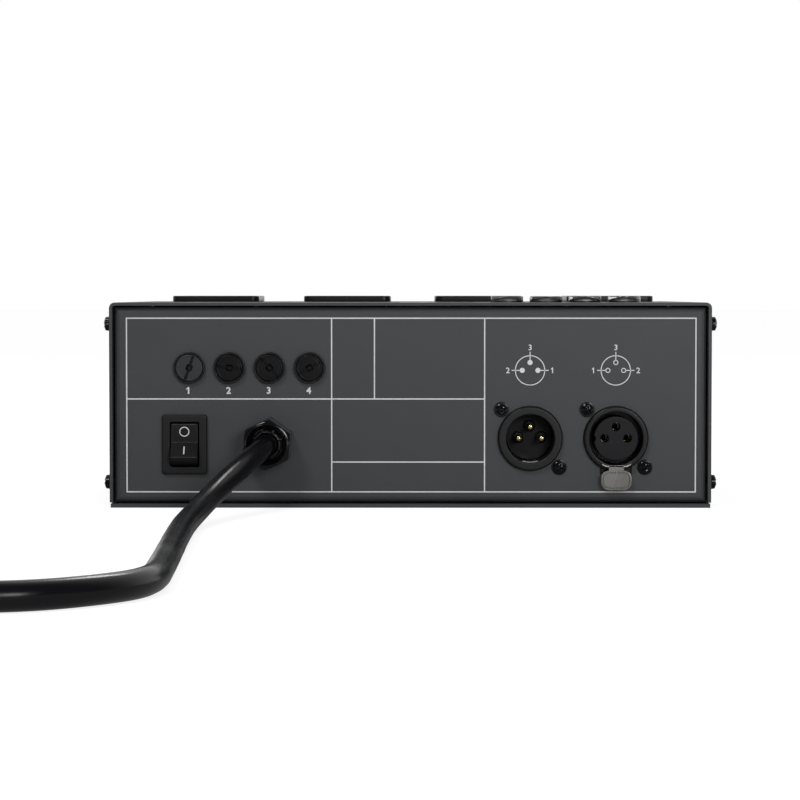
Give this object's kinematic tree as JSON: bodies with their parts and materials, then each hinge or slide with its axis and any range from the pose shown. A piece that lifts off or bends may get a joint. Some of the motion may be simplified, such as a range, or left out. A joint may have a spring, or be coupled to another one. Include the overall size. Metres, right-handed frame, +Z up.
{
  "type": "dimmer pack",
  "caption": "Portable mains dimmer pack: low steel box with outlets and buttons on top, and fuses, rocker switch, cable gland, mains lead and data sockets on the rear panel.",
  "frame": {"origin": "middle of the base plate's underside", "axes": "+Z up; the connector panel faces -Y, so +X is to the right of someone looking at that panel"},
  "size_m": [0.3812, 0.4992, 0.0815],
  "materials": {
    "case_paint": "satin dark grey, fine texture",
    "black_screw": "black oxide",
    "black_plastic": "satin black",
    "socket_shell": "satin black",
    "socket_insert": "matt black",
    "latch_nickel": "nickel plated",
    "button_cap": "silver grey, glossy",
    "smoked_window": "smoked dark red, glossy",
    "module": "matt black",
    "board": "green lacquer",
    "heat_sink": "plain extruded",
    "core": "laminated steel",
    "winding": "enamelled copper",
    "fuse_glass": "clear, with metal ends",
    "cord": "glossy black sheath",
    "tie": "matt black"
  },
  "bodies": {
    "case": {"base_plate": "case_paint", "case_screw_1": "black_screw", "case_screw_2": "black_screw", "case_screw_3": "black_screw", "case_screw_4": "black_screw", "case_screw_5": "black_screw", "case_screw_6": "black_screw", "case_screw_7": "black_screw", "case_screw_8": "black_screw", "control_board": "board", "cord_tie": "tie", "display_module": "module", "display_window": "smoked_window", "front_panel": "case_paint", "fuse_holder_1": "black_plastic", "fuse_holder_2": "black_plastic", "fuse_holder_3": "black_plastic", "fuse_holder_4": "black_plastic", "gland_body": "black_plastic", "gland_claws": "black_plastic", "gland_locknut": "black_plastic", "gland_nut": "black_plastic", "heat_sink": "heat_sink", "main_board": "board", "mains_plug": "cord", "outlet_1": "black_plastic", "outlet_2": "black_plastic", "outlet_3": "black_plastic", "outlet_4": "black_plastic", "power_cord": "cord", "power_cord_coil": "cord", "power_cord_tail": "cord", "rear_panel": "case_paint", "switch_frame": "black_plastic", "top_cover": "case_paint", "transformer_core": "core", "transformer_winding": "winding", "xlr_in_insert": "socket_insert", "xlr_in_screw_1": "black_screw", "xlr_in_screw_2": "black_screw", "xlr_in_shell": "socket_shell", "xlr_out_insert": "socket_insert", "xlr_out_screw_1": "black_screw", "xlr_out_screw_2": "black_screw", "xlr_out_shell": "socket_shell"},
    "rocker": {"rocker": "black_plastic"},
    "xlr_out_latch": {"xlr_out_latch": "latch_nickel"},
    "fuse_1": {"fuse_1": "fuse_glass"},
    "fuse_2": {"fuse_2": "fuse_glass"},
    "fuse_3": {"fuse_3": "fuse_glass"},
    "fuse_4": {"fuse_4": "fuse_glass"},
    "fuse_cap_1": {"fuse_cap_1": "black_plastic"},
    "fuse_cap_2": {"fuse_cap_2": "black_plastic"},
    "fuse_cap_3": {"fuse_cap_3": "black_plastic"},
    "fuse_cap_4": {"fuse_cap_4": "black_plastic"},
    "button_down": {"button_down": "button_cap"},
    "button_up": {"button_up": "button_cap"},
    "button_menu": {"button_menu": "button_cap"},
    "button_enter": {"button_enter": "button_cap"}
  },
  "joints": [
    {"name": "rocker_tilt", "type": "hinge", "parent": "case", "child": "rocker", "pos_m": [-0.0875, -0.0785, 0.0245], "axis": [1, 0, 0], "range_deg": [0, 36]},
    {"name": "latch_press", "type": "hinge", "parent": "case", "child": "xlr_out_latch", "pos_m": [0.0797, -0.069, 0.0162], "axis": [1, 0, 0], "range_deg": [0, 5], "stiffness_Nm_per_rad": 0.05, "springref_deg": -2.86},
    {"name": "fuse_1_draw", "type": "slide", "parent": "case", "child": "fuse_1", "axis": [0, -1, 0], "range_m": [0, 0.03]},
    {"name": "fuse_cap_1_turn", "type": "hinge", "parent": "fuse_1", "child": "fuse_cap_1", "pos_m": [-0.0856, -0.079, 0.0542], "axis": [0, -1, 0], "range_deg": [0, 90]},
    {"name": "fuse_2_draw", "type": "slide", "parent": "case", "child": "fuse_2", "axis": [0, -1, 0], "range_m": [0, 0.03]},
    {"name": "fuse_cap_2_turn", "type": "hinge", "parent": "fuse_2", "child": "fuse_cap_2", "pos_m": [-0.07007, -0.079, 0.0542], "axis": [0, -1, 0], "range_deg": [0, 90]},
    {"name": "fuse_3_draw", "type": "slide", "parent": "case", "child": "fuse_3", "axis": [0, -1, 0], "range_m": [0, 0.03]},
    {"name": "fuse_cap_3_turn", "type": "hinge", "parent": "fuse_3", "child": "fuse_cap_3", "pos_m": [-0.05454, -0.079, 0.0542], "axis": [0, -1, 0], "range_deg": [0, 90]},
    {"name": "fuse_4_draw", "type": "slide", "parent": "case", "child": "fuse_4", "axis": [0, -1, 0], "range_m": [0, 0.03]},
    {"name": "fuse_cap_4_turn", "type": "hinge", "parent": "fuse_4", "child": "fuse_cap_4", "pos_m": [-0.03901, -0.079, 0.0542], "axis": [0, -1, 0], "range_deg": [0, 90]},
    {"name": "button_down_press", "type": "slide", "parent": "case", "child": "button_down", "axis": [0, 0, -1], "range_m": [0, 0.0005], "stiffness_N_per_m": 400, "springref_m": -0.0005},
    {"name": "button_up_press", "type": "slide", "parent": "case", "child": "button_up", "axis": [0, 0, -1], "range_m": [0, 0.0005], "stiffness_N_per_m": 400, "springref_m": -0.0005},
    {"name": "button_menu_press", "type": "slide", "parent": "case", "child": "button_menu", "axis": [0, 0, -1], "range_m": [0, 0.0005], "stiffness_N_per_m": 400, "springref_m": -0.0005},
    {"name": "button_enter_press", "type": "slide", "parent": "case", "child": "button_enter", "axis": [0, 0, -1], "range_m": [0, 0.0005], "stiffness_N_per_m": 400, "springref_m": -0.0005}
  ]
}
